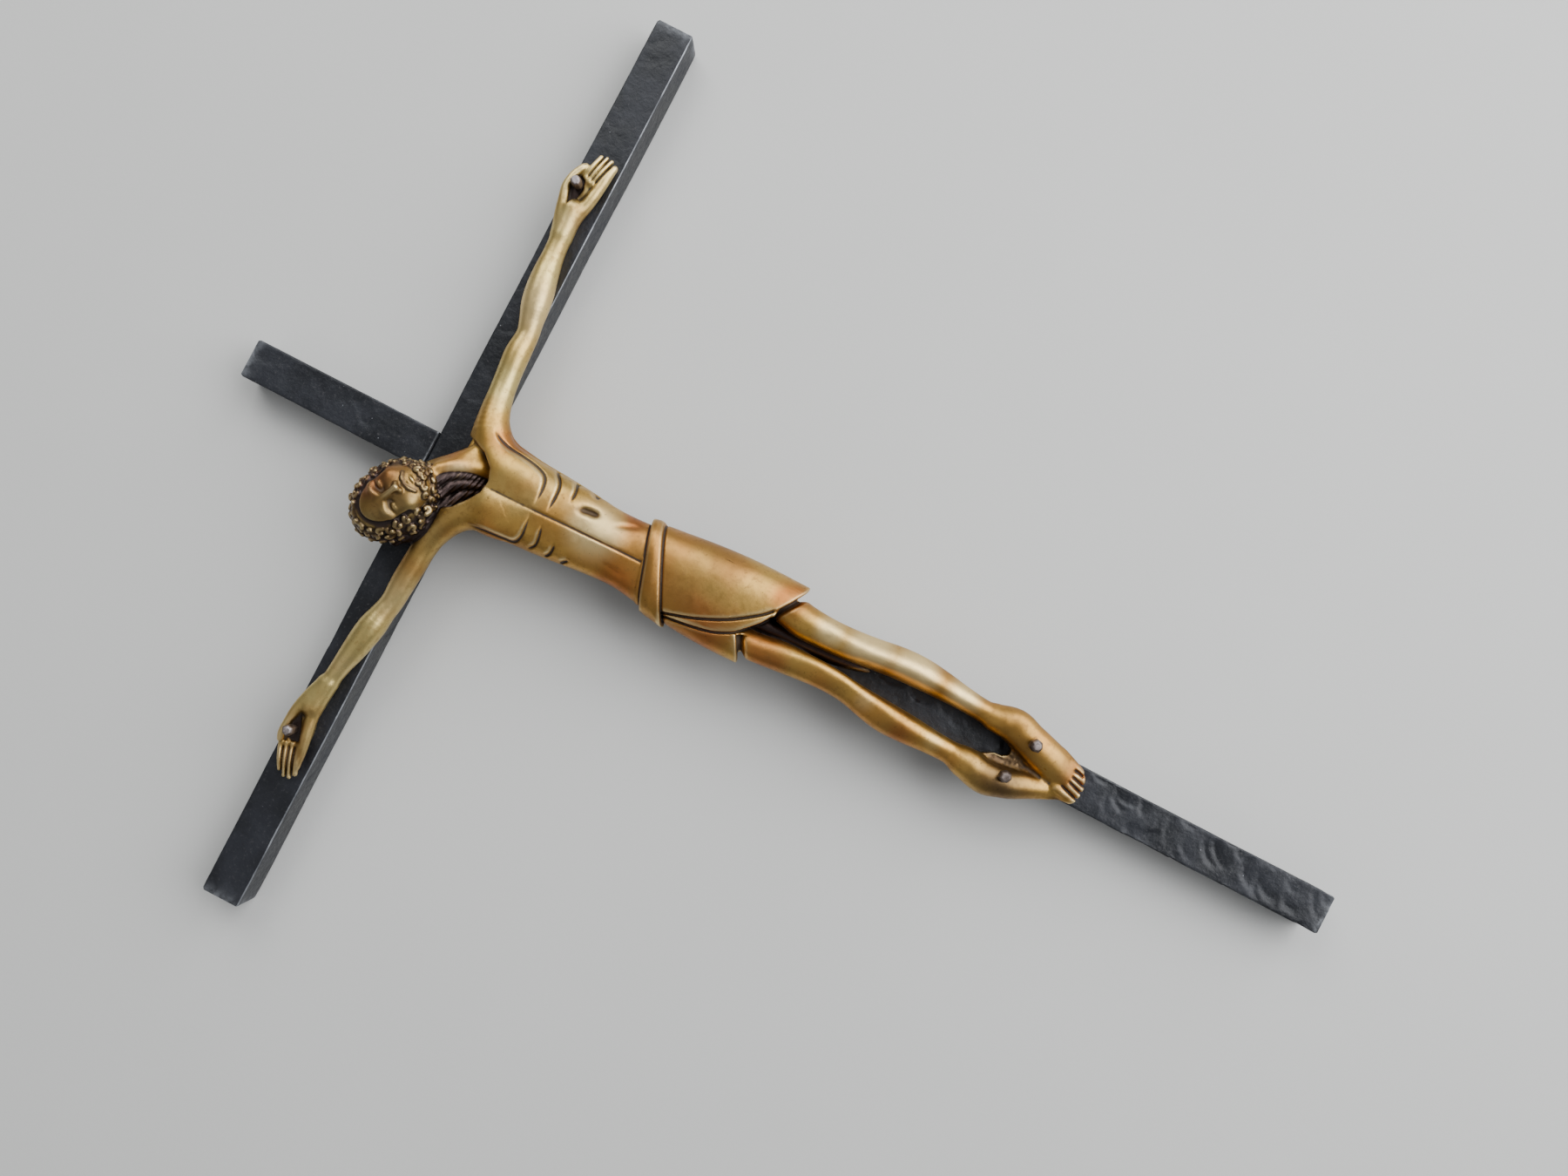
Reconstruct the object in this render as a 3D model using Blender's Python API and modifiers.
"""Altar cross: two square forged iron bars halved together, with a cast bronze corpus.

The cross lies on its back: +X runs along the crossbar to the viewer's right, +Y up the upright to its top
end, and +Z out of the front. The origin is under the middle of the object's box, on the plane it lies on.
"""

import math

import bmesh
import bpy
from mathutils import Matrix, Vector

MM = 0.001

# Driving dimensions, in millimetres
BAR = 14.0  # side of the square iron bar
UPRIGHT_LENGTH = 405.0
UPRIGHT_ABOVE = 76.0  # upright's top end above the middle of the crossbar
CROSSBAR_LENGTH = 330.0
GAP = 0.3  # between pieces that touch
BAR_EDGE = 0.8  # worn edge of a forged bar

UPRIGHT_BELOW = UPRIGHT_LENGTH - UPRIGHT_ABOVE
LAP = BAR / 2  # depth of each half of the crossing joint
CROSSING_Y = UPRIGHT_LENGTH / 2 - UPRIGHT_ABOVE
BACK_PLANE = GAP  # the casting's flat back, just in front of the bars

# Fasteners, in millimetres
NAIL_SHANK_R = 1.5
NAIL_HEAD_R = 2.3
NAIL_HEAD_HEIGHT = 4.2
NAIL_SIDES = 8
SCREW_R = 2.5
SCREW_HEAD_R = 4.6
SCREW_HEAD_DEPTH = 2.2
SLOT_WIDTH = 1.0
SLOT_DEPTH = 1.0
CROSSING_SCREW_END = -2.2  # height of the screw's end, from the bars' front
CORPUS_SCREW_END = 6.0
CORPUS_SCREW_Y = -98.0
CLEAR_ABOVE = 40.0  # a cutter's top, well above the figure

# Each nail, from the middle of the crossing on the bars' front face: x, y, height of its point and
# height of the seat under its head
HAND_NAILS = {"hand_nail_left": (-102.4, 2.8, -7.0, 6.2), "hand_nail_right": (101.2, 2.8, -7.0, 6.2)}
FOOT_NAILS = {"foot_nail_left": (-7.6, -211.4, 5.6, 9.6), "foot_nail_right": (5.7, -215.5, 6.4, 10.8)}

# The figure, in millimetres from the middle of the crossing on the bars' front face.
# Limb stations: x, y, height of the axis, radius
ARM_LEFT = [
    (-12, -13, 6.5, 6.0), (-22, -8.9, 5.6, 4.7), (-30, -7.8, 4.8, 4.1), (-40, -6.9, 4.4, 4.1),
    (-50, -6.5, 4.0, 3.8), (-57, -5.2, 4.3, 4.4), (-63, -3.9, 4.4, 4.6), (-71, -2.5, 4.1, 4.0),
    (-80, -1.0, 3.5, 3.2), (-86, 0.2, 3.5, 3.2), (-94, 1.6, 3.6, 3.6),
]
ARM_RIGHT = [
    (11, -13, 6.5, 6.0), (20, -8.3, 5.6, 5.0), (30, -6.4, 4.8, 4.1), (40, -5.3, 4.5, 4.3),
    (49, -5.1, 4.0, 3.7), (55, -4.2, 4.3, 4.3), (62, -2.4, 4.6, 4.9), (70, -1.1, 4.3, 4.4),
    (79, -0.2, 3.7, 3.6), (86, 0.3, 3.6, 3.6), (94, 1.0, 3.7, 3.8),
]
LEG_LEFT = [
    (-8.4, -106, 4.4, 5.2), (-8.0, -119, 5.0, 4.8), (-6.3, -130, 5.2, 5.0), (-5.7, -141, 5.4, 4.9),
    (-5.7, -150, 5.6, 4.6), (-6.8, -158, 5.2, 4.5), (-8.4, -167, 5.2, 5.2), (-8.7, -176, 4.9, 5.1),
    (-9.0, -186, 4.3, 4.2), (-9.1, -193, 4.1, 3.9), (-9.9, -200, 4.6, 4.6), (-10.2, -207, 5.0, 5.6),
    (-8.3, -214, 5.6, 4.7), (-6.6, -222, 5.0, 3.6), (-5.8, -229, 3.6, 2.3),
]
LEG_RIGHT = [
    (8.7, -110, 4.4, 5.4), (8.6, -123, 5.2, 5.2), (7.7, -131, 5.4, 5.1), (7.3, -139, 5.6, 4.9),
    (7.5, -147, 5.8, 4.7), (8.5, -157, 5.5, 4.7), (9.5, -167, 5.4, 5.1), (9.4, -176, 5.1, 5.2),
    (8.7, -186, 4.5, 4.3), (8.0, -194, 4.3, 3.8), (7.9, -201, 4.9, 4.3), (7.6, -208, 5.6, 5.6),
    (5.6, -215, 6.4, 5.4), (3.8, -222, 6.4, 4.8),
]
NECK = [(-12, -1.5, 10.5, 6.0), (-6, -6.0, 8.5, 5.8), (1, -13, 6.5, 6.2)]
THUMB_LEFT = [(-95, 5.0, 4.0, 1.9), (-102, 6.6, 4.6, 1.8), (-108.5, 5.0, 4.2, 1.1)]
THUMB_RIGHT = [(94, 5.0, 4.0, 1.9), (101, 6.4, 4.6, 1.8), (108.5, 4.4, 4.2, 1.1)]

# Fingers and toes: x, y of the root and x, y of the tip
FINGERS_LEFT = [
    (-103, 3.4, -116.6, 1.2), (-103, 1.6, -118.4, -0.8), (-103, -0.3, -118.2, -2.9),
    (-103, -2.1, -116.2, -4.6),
]
FINGERS_RIGHT = [
    (101, 2.2, 112.6, 0.5), (101, 0.5, 114.0, -1.4), (101, -1.4, 113.9, -3.4), (101, -3.2, 112.2, -5.0),
]
TOES = [
    (-2.6, -228, -4.9, -235.2), (-0.6, -229, -2.7, -236.4), (1.5, -229, 0.0, -236.8),
    (3.6, -229, 2.6, -235.6), (5.6, -228, 5.0, -233.6),
]
FINGER_R = (1.45, 1.0)  # radius at the root and the tip
TOE_R = (1.6, 1.35)

# Trunk sections: y at x = 0, slope of the section in y over x, left x, right x, height
TRUNK = [
    (-7.5, 0.0, -15.0, 13.0, 7.5), (-11.0, 0.0, -19.0, 17.0, 10.0), (-16.0, 0.0, -18.2, 16.4, 12.0),
    (-24.0, 0.0, -15.8, 14.6, 13.4), (-34.0, 0.0, -14.6, 13.5, 13.8), (-45.0, 0.0, -14.0, 12.9, 12.6),
    (-56.0, 0.0, -12.7, 12.1, 11.2), (-65.0, 0.1, -11.8, 11.3, 10.6), (-76.0, 0.4, -12.6, 12.6, 11.6),
]
LOINCLOTH = [
    (-75.0, 0.34, -12.6, 12.6, 11.2), (-78.0, 0.42, -14.2, 13.6, 13.4), (-84.0, 0.38, -15.0, 14.4, 13.8),
    (-95.0, 0.20, -15.8, 15.6, 13.8), (-108.0, -0.15, -15.9, 16.7, 13.4), (-121.0, -0.32, -15.2, 17.9, 12.4),
]
SECTION_POINTS = 24

HEAD_CENTRE = (-17.5, 5.0, 14.6)
HEAD_RADII = (12.6, 16.2, 12.6)  # across, along, deep
HEAD_TILT = 51.0  # degrees, towards the viewer's left
PALM_LEFT = ((-98.5, 1.9, 3.7), (9.5, 5.3, 3.3), -8.0)
PALM_RIGHT = ((97.5, 0.9, 3.7), (9.5, 5.5, 3.3), -6.0)
FOOT_RIGHT = ((1.9, -223.5, 5.6), (6.2, 9.4, 4.2), -14.0)
FOOT_WEB = ((-6.0, -216.0, 1.0), (6.0, -208.5, 4.5))  # metal left between the feet


def clear_scene():
    for obj in list(bpy.data.objects):
        bpy.data.objects.remove(obj, do_unlink=True)


def new_collection(name):
    collection = bpy.data.collections.new(name)
    bpy.context.scene.collection.children.link(collection)
    return collection


def material(name, color, metallic, roughness):
    made = bpy.data.materials.new(name)
    made.use_nodes = True
    shader = made.node_tree.nodes["Principled BSDF"]
    shader.inputs["Base Color"].default_value = (*color, 1.0)
    shader.inputs["Metallic"].default_value = metallic
    shader.inputs["Roughness"].default_value = roughness
    made.diffuse_color = (*color, 1.0)
    return made


def object_from(name, bm, collection, made_of=None):
    """A named object from a bmesh, whose millimetres become metres."""
    bmesh.ops.scale(bm, vec=(MM, MM, MM), verts=bm.verts)
    bmesh.ops.recalc_face_normals(bm, faces=bm.faces)
    mesh = bpy.data.meshes.new(name)
    bm.to_mesh(mesh)
    bm.free()
    obj = bpy.data.objects.new(name, mesh)
    collection.objects.link(obj)
    if made_of:
        mesh.materials.append(made_of)
    return obj


def box(name, low, high, collection, made_of=None):
    bm = bmesh.new()
    bmesh.ops.create_cube(bm, size=1.0)
    size = [b - a for a, b in zip(low, high)]
    middle = [(a + b) / 2 for a, b in zip(low, high)]
    bmesh.ops.scale(bm, vec=size, verts=bm.verts)
    bmesh.ops.translate(bm, vec=middle, verts=bm.verts)
    return object_from(name, bm, collection, made_of)


def turned(name, profile, sides, collection, made_of=None):
    """A solid of revolution about Z, from (radius, height) points that run from its top to its foot."""
    mesh = bpy.data.meshes.new(name)
    points = [(r * MM, 0.0, z * MM) for r, z in profile]
    mesh.from_pydata(points, [(i, i + 1) for i in range(len(points) - 1)], [])
    obj = bpy.data.objects.new(name, mesh)
    collection.objects.link(obj)
    if made_of:
        mesh.materials.append(made_of)
    screw = obj.modifiers.new("turn", "SCREW")
    screw.steps = sides
    screw.render_steps = sides
    screw.use_merge_vertices = True
    screw.merge_threshold = 0.00001
    screw.use_smooth_shade = False
    return obj


def evaluated_mesh(obj):
    """The object's mesh with its modifiers or its curve made real."""
    bpy.context.view_layer.update()
    graph = bpy.context.evaluated_depsgraph_get()
    return bpy.data.meshes.new_from_object(obj.evaluated_get(graph))


def as_helper(obj):
    obj.hide_render = True
    obj.display_type = "WIRE"


def boolean(obj, other, operation):
    modifier = obj.modifiers.new(other.name, "BOOLEAN")
    modifier.operation = operation
    modifier.solver = "EXACT"
    modifier.object = other
    as_helper(other)


def rounded_path(stations, steps=3):
    """Points of a Catmull-Rom curve through the stations, each x, y, z and radius."""
    rows = [Vector(s) for s in stations]
    rows = [2 * rows[0] - rows[1], *rows, 2 * rows[-1] - rows[-2]]
    path = []
    for a, b, c, d in zip(rows, rows[1:], rows[2:], rows[3:]):
        for i in range(steps):
            t = i / steps
            bend = (2 * a - 5 * b + 4 * c - d) * t**2 + (3 * b - a - 3 * c + d) * t**3
            path.append(0.5 * (2 * b + (c - a) * t + bend))
    path.append(rows[-2])
    return path


def limb(name, stations, collection):
    """A round limb whose radius changes along its length, with a rounded end."""
    path = rounded_path(stations)
    tip, end_r = path[-1].to_3d(), path[-1][3]
    heading = (tip - path[-2].to_3d()).normalized()
    for angle in (math.radians(30), math.radians(60), math.radians(80)):
        point = tip + heading * end_r * math.sin(angle)
        path.append(Vector((*point, end_r * math.cos(angle))))
    curve = bpy.data.curves.new(name, "CURVE")
    curve.dimensions = "3D"
    curve.bevel_depth = MM
    curve.bevel_resolution = 3
    curve.use_fill_caps = True
    spline = curve.splines.new("POLY")
    spline.points.add(len(path) - 1)
    for point, (x, y, z, radius) in zip(spline.points, path):
        point.co = (x * MM, y * MM, z * MM, 1.0)
        point.radius = radius
    obj = bpy.data.objects.new(name, curve)
    collection.objects.link(obj)
    mesh = evaluated_mesh(obj)
    bm = bmesh.new()
    bm.from_mesh(mesh)
    bmesh.ops.remove_doubles(bm, verts=bm.verts, dist=0.00001)
    bmesh.ops.recalc_face_normals(bm, faces=bm.faces)
    bm.to_mesh(mesh)
    bm.free()
    bpy.data.objects.remove(obj)
    made = bpy.data.objects.new(name, mesh)
    collection.objects.link(made)
    return made


def digit(name, row, radii, height, collection):
    """A finger or toe: a short limb that thins towards its tip."""
    x0, y0, x1, y1 = row
    root, end = radii
    middle = ((x0 + x1) / 2, (y0 + y1) / 2, height + 0.3, (root + end) / 2)
    return limb(name, [(x0, y0, height, root), middle, (x1, y1, height - 0.4, end)], collection)


def trunk_loft(name, sections, collection):
    """A closed skin over elliptical sections that stand across the figure."""
    bm = bmesh.new()
    rings = []
    for y, slope, left, right, height in sections:
        centre_x, half = (left + right) / 2, (right - left) / 2
        centre_z, rise = height * 0.36, height * 0.64
        ring = []
        for i in range(SECTION_POINTS):
            a = math.tau * i / SECTION_POINTS
            x = centre_x + half * math.copysign(abs(math.cos(a)) ** 0.8, math.cos(a))
            z = centre_z + rise * math.sin(a)
            ring.append(bm.verts.new((x, y + slope * x, z)))
        rings.append(ring)
    for ring, after in zip(rings, rings[1:]):
        for i in range(SECTION_POINTS):
            j = (i + 1) % SECTION_POINTS
            bm.faces.new((ring[i], ring[j], after[j], after[i]))
    bm.faces.new(rings[0])
    bm.faces.new(list(reversed(rings[-1])))
    return object_from(name, bm, collection)


def egg(name, centre, radii, turn, collection, segments=20):
    """A stretched ball, turned about Z by degrees."""
    bm = bmesh.new()
    bmesh.ops.create_uvsphere(bm, u_segments=segments, v_segments=segments * 2 // 3, radius=1.0)
    rotation = Matrix.Rotation(math.radians(turn), 4, "Z")
    place = Matrix.Translation(centre) @ rotation @ Matrix.Diagonal((*radii, 1.0))
    bmesh.ops.transform(bm, matrix=place, verts=bm.verts)
    return object_from(name, bm, collection)


def screw_hole(name, y, end, collection):
    """Cutter for a screw put in from behind: its countersunk head and its shank, with clearance."""
    foot = -BAR
    head = SCREW_HEAD_R + GAP
    shank = SCREW_R + GAP
    profile = [
        (0.0, end + GAP), (shank, end + GAP), (shank, foot + SCREW_HEAD_DEPTH + GAP),
        (head, foot + GAP), (head, foot - 1.0), (0.0, foot - 1.0),
    ]
    cutter = turned(name, profile, 24, collection)
    cutter.location = (0.0, y * MM, 0.0)
    return cutter


def nail_hole(name, row, collection):
    """Cutter for a nail: clearance round the shank, and a flat seat for the head."""
    x, y, point, seat = row
    shank = NAIL_SHANK_R + GAP
    head = NAIL_HEAD_R + GAP
    profile = [
        (0.0, CLEAR_ABOVE), (head, CLEAR_ABOVE), (head, seat - GAP), (shank, seat - GAP),
        (shank, point - GAP), (0.0, point - GAP),
    ]
    cutter = turned(name, profile, 16, collection)
    cutter.location = (x * MM, y * MM, 0.0)
    return cutter


def make_upright(parts, cutters, iron):
    bar = box("upright_bar", (-BAR / 2, -UPRIGHT_BELOW, -BAR), (BAR / 2, UPRIGHT_ABOVE, 0.0), parts, iron)
    soften(bar)
    half = BAR / 2 + GAP
    notch = box("upright_notch", (-BAR, -half, -LAP), (BAR, half, BAR), cutters)
    boolean(bar, notch, "DIFFERENCE")
    boolean(bar, screw_hole("upright_crossing_hole", 0.0, CROSSING_SCREW_END, cutters), "DIFFERENCE")
    boolean(bar, screw_hole("upright_corpus_hole", CORPUS_SCREW_Y, CORPUS_SCREW_END, cutters), "DIFFERENCE")
    return bar


def make_crossbar(parts, cutters, iron):
    reach = CROSSBAR_LENGTH / 2
    bar = box("crossbar", (-reach, -BAR / 2, -BAR), (reach, BAR / 2, 0.0), parts, iron)
    soften(bar)
    half = BAR / 2 + GAP
    notch = box("crossbar_notch", (-half, -BAR, -2 * BAR), (half, BAR, GAP - LAP), cutters)
    boolean(bar, notch, "DIFFERENCE")
    boolean(bar, screw_hole("crossbar_screw_hole", 0.0, CROSSING_SCREW_END, cutters), "DIFFERENCE")
    for name, row in HAND_NAILS.items():
        boolean(bar, nail_hole(f"crossbar_{name}_hole", row, cutters), "DIFFERENCE")
    return bar


def soften(bar):
    """The small worn edge that forging leaves on a bar."""
    bevel = bar.modifiers.new("worn_edge", "BEVEL")
    bevel.width = BAR_EDGE * MM
    bevel.segments = 2


def body_pieces(shapes):
    pieces = [
        trunk_loft("trunk", TRUNK, shapes),
        trunk_loft("loincloth", LOINCLOTH, shapes),
        egg("head", HEAD_CENTRE, HEAD_RADII, HEAD_TILT, shapes),
        egg("palm_left", *PALM_LEFT, shapes),
        egg("palm_right", *PALM_RIGHT, shapes),
        egg("foot_right", *FOOT_RIGHT, shapes),
    ]
    limbs = {
        "neck": NECK, "arm_left": ARM_LEFT, "arm_right": ARM_RIGHT, "leg_left": LEG_LEFT,
        "leg_right": LEG_RIGHT, "thumb_left": THUMB_LEFT, "thumb_right": THUMB_RIGHT,
    }
    pieces += [limb(name, stations, shapes) for name, stations in limbs.items()]
    for label, rows, radii, height in (
        ("finger_left", FINGERS_LEFT, FINGER_R, 3.2),
        ("finger_right", FINGERS_RIGHT, FINGER_R, 3.2),
        ("toe", TOES, TOE_R, 4.6),
    ):
        pieces += [digit(f"{label}_{i}", row, radii, height, shapes) for i, row in enumerate(rows)]
    pieces.append(box("foot_web", *FOOT_WEB, shapes))
    return pieces


def make_corpus(parts, cutters, bronze):
    """The casting: limbs, trunk, loincloth and head as one body, flat behind."""
    first, *others = body_pieces(cutters)
    for piece in others:
        boolean(first, piece, "UNION")
    behind = box("behind_corpus", (-150, -260, -30), (150, 60, BACK_PLANE), cutters)
    boolean(first, behind, "DIFFERENCE")
    for name, row in {**HAND_NAILS, **FOOT_NAILS}.items():
        boolean(first, nail_hole(f"corpus_{name}_hole", row, cutters), "DIFFERENCE")
    boolean(first, screw_hole("corpus_screw_hole", CORPUS_SCREW_Y, CORPUS_SCREW_END, cutters), "DIFFERENCE")
    mesh = evaluated_mesh(first)
    mesh.name = "corpus"
    mesh.materials.clear()
    mesh.materials.append(bronze)
    mesh.shade_smooth()
    mesh.set_sharp_from_angle(angle=math.radians(40))
    as_helper(first)
    corpus = bpy.data.objects.new("corpus", mesh)
    parts.objects.link(corpus)
    return corpus


def make_nail(name, row, parts, steel):
    """A forged nail with a faceted head that tapers to a blunt end."""
    x, y, point, seat = row
    top = seat + NAIL_HEAD_HEIGHT
    profile = [
        (0.0, top), (NAIL_HEAD_R * 0.62, top), (NAIL_HEAD_R, top - 1.4), (NAIL_HEAD_R * 0.9, seat),
        (NAIL_SHANK_R, seat), (NAIL_SHANK_R, point + 1.0), (NAIL_SHANK_R * 0.6, point), (0.0, point),
    ]
    nail = turned(name, profile, NAIL_SIDES, parts, steel)
    nail.location = (x * MM, y * MM, 0.0)
    return nail


def make_screw(name, y, end, parts, cutters, steel):
    """A countersunk slotted screw, put in from behind."""
    foot = -BAR + GAP
    profile = [
        (0.0, end), (SCREW_R * 0.8, end), (SCREW_R, end - 0.5), (SCREW_R, foot + SCREW_HEAD_DEPTH),
        (SCREW_HEAD_R, foot), (0.0, foot),
    ]
    screw = turned(name, profile, 24, parts, steel)
    screw.location = (0.0, y * MM, 0.0)
    reach = SCREW_HEAD_R + 1.0
    half = SLOT_WIDTH / 2
    slot = box(f"{name}_slot", (-reach, y - half, foot - 1.0), (reach, y + half, foot + SLOT_DEPTH), cutters)
    boolean(screw, slot, "DIFFERENCE")
    return screw


def main():
    clear_scene()
    parts = new_collection("altar_cross")
    cutters = new_collection("cutters")
    iron = material("forged_iron", (0.028, 0.028, 0.032), 0.6, 0.5)
    bronze = material("cast_bronze", (0.45, 0.28, 0.11), 1.0, 0.35)
    steel = material("nail_steel", (0.16, 0.13, 0.12), 0.9, 0.4)

    make_upright(parts, cutters, iron)
    make_crossbar(parts, cutters, iron)
    make_corpus(parts, cutters, bronze)
    for name, row in {**HAND_NAILS, **FOOT_NAILS}.items():
        make_nail(name, row, parts, steel)
    make_screw("crossing_screw", 0.0, CROSSING_SCREW_END, parts, cutters, steel)
    make_screw("corpus_screw", CORPUS_SCREW_Y, CORPUS_SCREW_END, parts, cutters, steel)

    crossing = bpy.data.objects.new("crossing", None)
    parts.objects.link(crossing)
    crossing.location = (0.0, CROSSING_Y * MM, BAR * MM)
    for obj in [*parts.objects, *cutters.objects]:
        if obj is not crossing:
            obj.parent = crossing


main()
